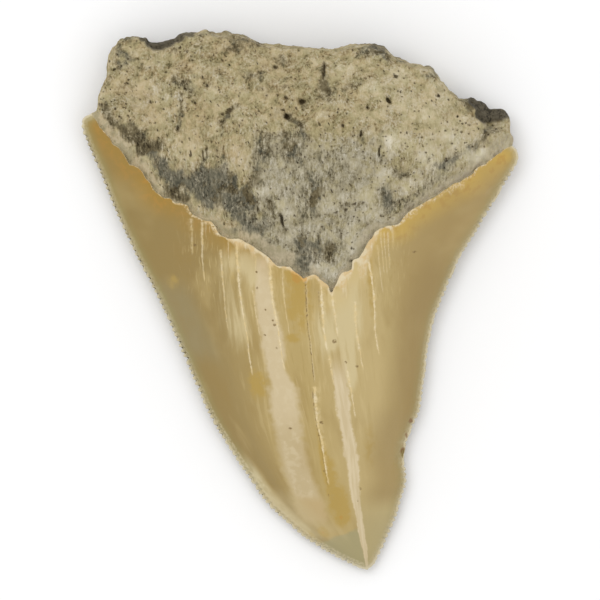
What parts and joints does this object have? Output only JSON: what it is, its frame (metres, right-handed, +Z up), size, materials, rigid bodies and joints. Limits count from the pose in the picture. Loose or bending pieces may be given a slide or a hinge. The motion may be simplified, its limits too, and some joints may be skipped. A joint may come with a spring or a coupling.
{
  "type": "fossil megalodon tooth",
  "caption": "Broad, thick triangular shark tooth fossil with serrated cutting edges, a leaning tip and a broken bulging root, lying on its flat face.",
  "frame": {"origin": "on the surface that the tooth lies on, under the middle of its bounding box", "axes": "+Y from the tip to the root, +Z up, out of the swollen inner face, +X to the right when that face is seen with the root at the top"},
  "size_m": [0.0582, 0.072, 0.0157],
  "materials": {
    "tooth": "fossil enamel and bone: satin olive-tan crown with cream growth streaks and amber upper border, dull beige and dark grey porous root"
  },
  "bodies": {
    "root": {"tooth": "tooth"}
  },
  "joints": []
}
